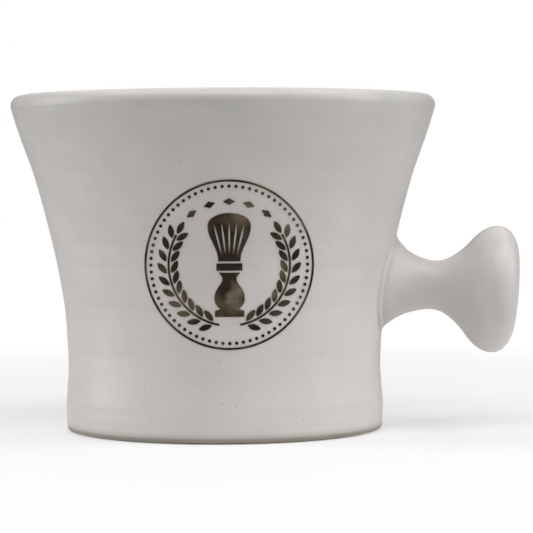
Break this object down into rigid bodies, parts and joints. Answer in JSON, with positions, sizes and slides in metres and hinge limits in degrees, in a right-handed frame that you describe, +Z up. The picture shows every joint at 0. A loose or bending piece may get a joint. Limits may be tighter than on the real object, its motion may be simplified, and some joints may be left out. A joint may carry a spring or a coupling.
{
  "type": "shaving mug",
  "caption": "Glazed ceramic shaving mug: flared bowl with a rounded rim and bare foot ring, knob handle on one side, and a round printed emblem on the front.",
  "frame": {"origin": "on the bowl's axis, on the plane that the foot ring stands on", "axes": "+Z up the bowl's axis, +X towards the knob handle, -Y towards the printed front"},
  "size_m": [0.1219, 0.102, 0.0803],
  "materials": {
    "fired_clay": "bare fired stoneware, matt, fine and slightly sandy",
    "white_glaze": "warm white satin glaze with fine grain and a few dark specks",
    "bronze_print": "fired dark bronze lustre, metallic, slightly uneven"
  },
  "bodies": {
    "root": {"bowl": "fired_clay", "knob_handle": "fired_clay", "handle_slip_joint": "fired_clay", "outer_glaze": "white_glaze", "inner_glaze": "white_glaze", "handle_glaze": "white_glaze", "foot_recess_glaze": "white_glaze", "print_outer_ring": "bronze_print", "print_dot_ring": "bronze_print", "print_lozenges": "bronze_print", "print_left_sprig": "bronze_print", "print_right_sprig": "bronze_print", "print_brush_bristles": "bronze_print", "print_brush_collar": "bronze_print", "print_brush_handle": "bronze_print"}
  },
  "joints": []
}
